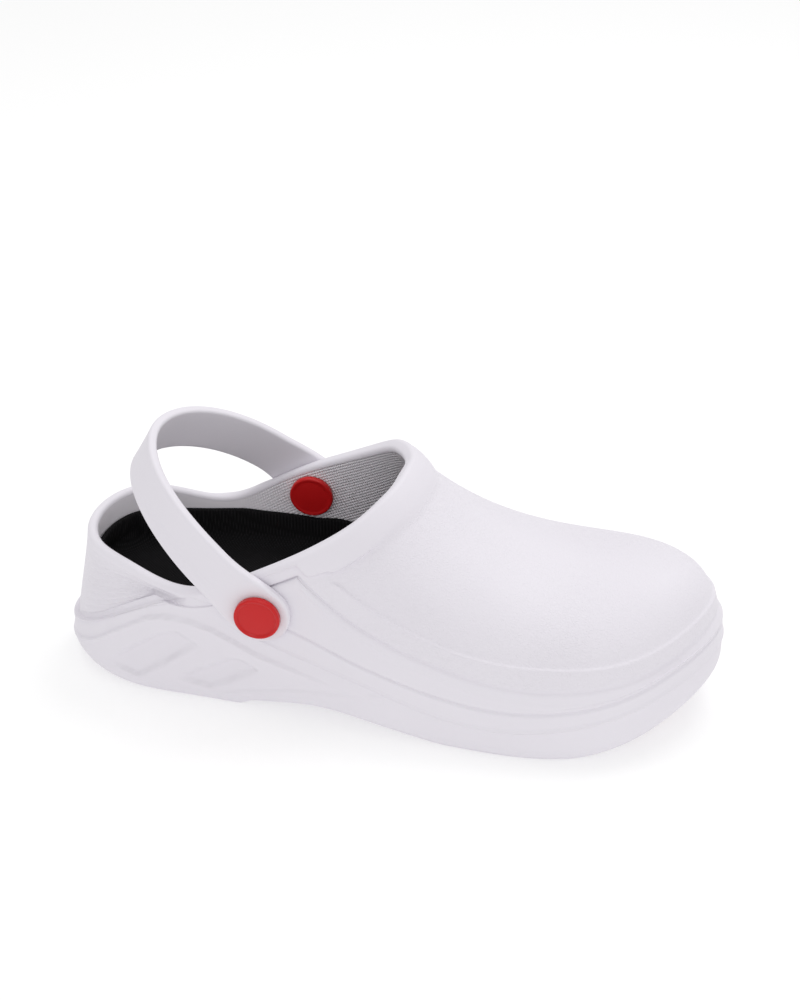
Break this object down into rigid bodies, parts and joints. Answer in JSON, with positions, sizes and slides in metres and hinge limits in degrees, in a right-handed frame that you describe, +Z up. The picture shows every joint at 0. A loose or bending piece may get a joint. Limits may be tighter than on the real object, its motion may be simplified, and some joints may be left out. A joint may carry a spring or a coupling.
{
  "type": "clog",
  "caption": "Closed-toe moulded foam work clog for the right foot, with a riveted foam heel strap, a textile insole and rubber tread inserts.",
  "frame": {"origin": "centre of the footprint of the bounding box, on the floor that the sole stands on", "axes": "+X from the heel to the toe, +Y towards the inner side of the foot, +Z up"},
  "size_m": [0.2904, 0.109, 0.1159],
  "materials": {
    "white_foam": "white moulded foam with a fine leather-like grain",
    "black_textile": "black knitted top cover",
    "red_plastic": "glossy red snap rivets",
    "red_rubber": "red rubber tread"
  },
  "bodies": {
    "root": {"body": "white_foam", "heel_strap": "white_foam", "insole": "black_textile", "rivet_lateral_button": "red_plastic", "rivet_lateral_cap": "red_plastic", "rivet_medial_button": "red_plastic", "rivet_medial_cap": "red_plastic", "tread_heel": "red_rubber", "tread_forefoot": "red_rubber"}
  },
  "joints": []
}
